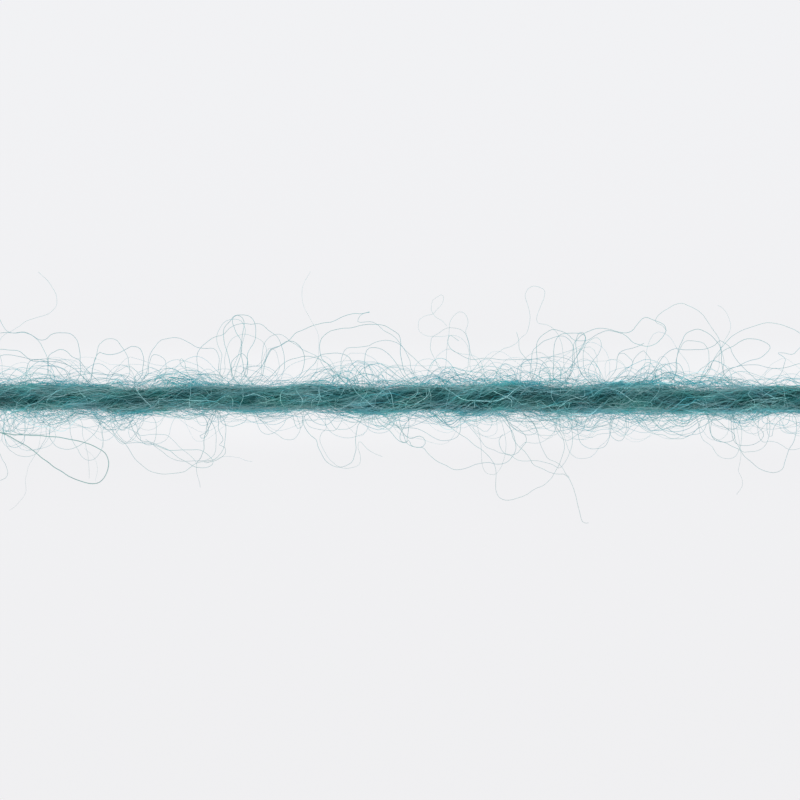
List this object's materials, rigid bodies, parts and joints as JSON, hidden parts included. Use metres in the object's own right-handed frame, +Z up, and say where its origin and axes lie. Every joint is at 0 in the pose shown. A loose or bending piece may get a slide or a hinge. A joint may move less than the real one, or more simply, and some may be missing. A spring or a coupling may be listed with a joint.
{
  "type": "knitting yarn strand",
  "caption": "Cut length of fuzzy plied wool knitting yarn lying straight, its plies wound with left-hand twist and stray fibres looping out of the grooves.",
  "frame": {"origin": "on the surface that the yarn lies on, under the middle of its length", "axes": "+X along the yarn, +Y across it in the plane of the surface, +Z up"},
  "size_m": [0.08, 0.0232, 0.0048],
  "materials": {
    "wool": "matte carded wool, dyed teal, fibres lying nearly along the yarn",
    "loose_wool": "single wool fibres, dyed teal, paler where they stand alone"
  },
  "bodies": {
    "root": {"ply_1": "wool", "ply_2": "wool", "ply_3": "wool", "loose_fibres_1": "loose_wool", "loose_fibres_2": "loose_wool", "loose_fibres_3": "loose_wool"}
  },
  "joints": []
}
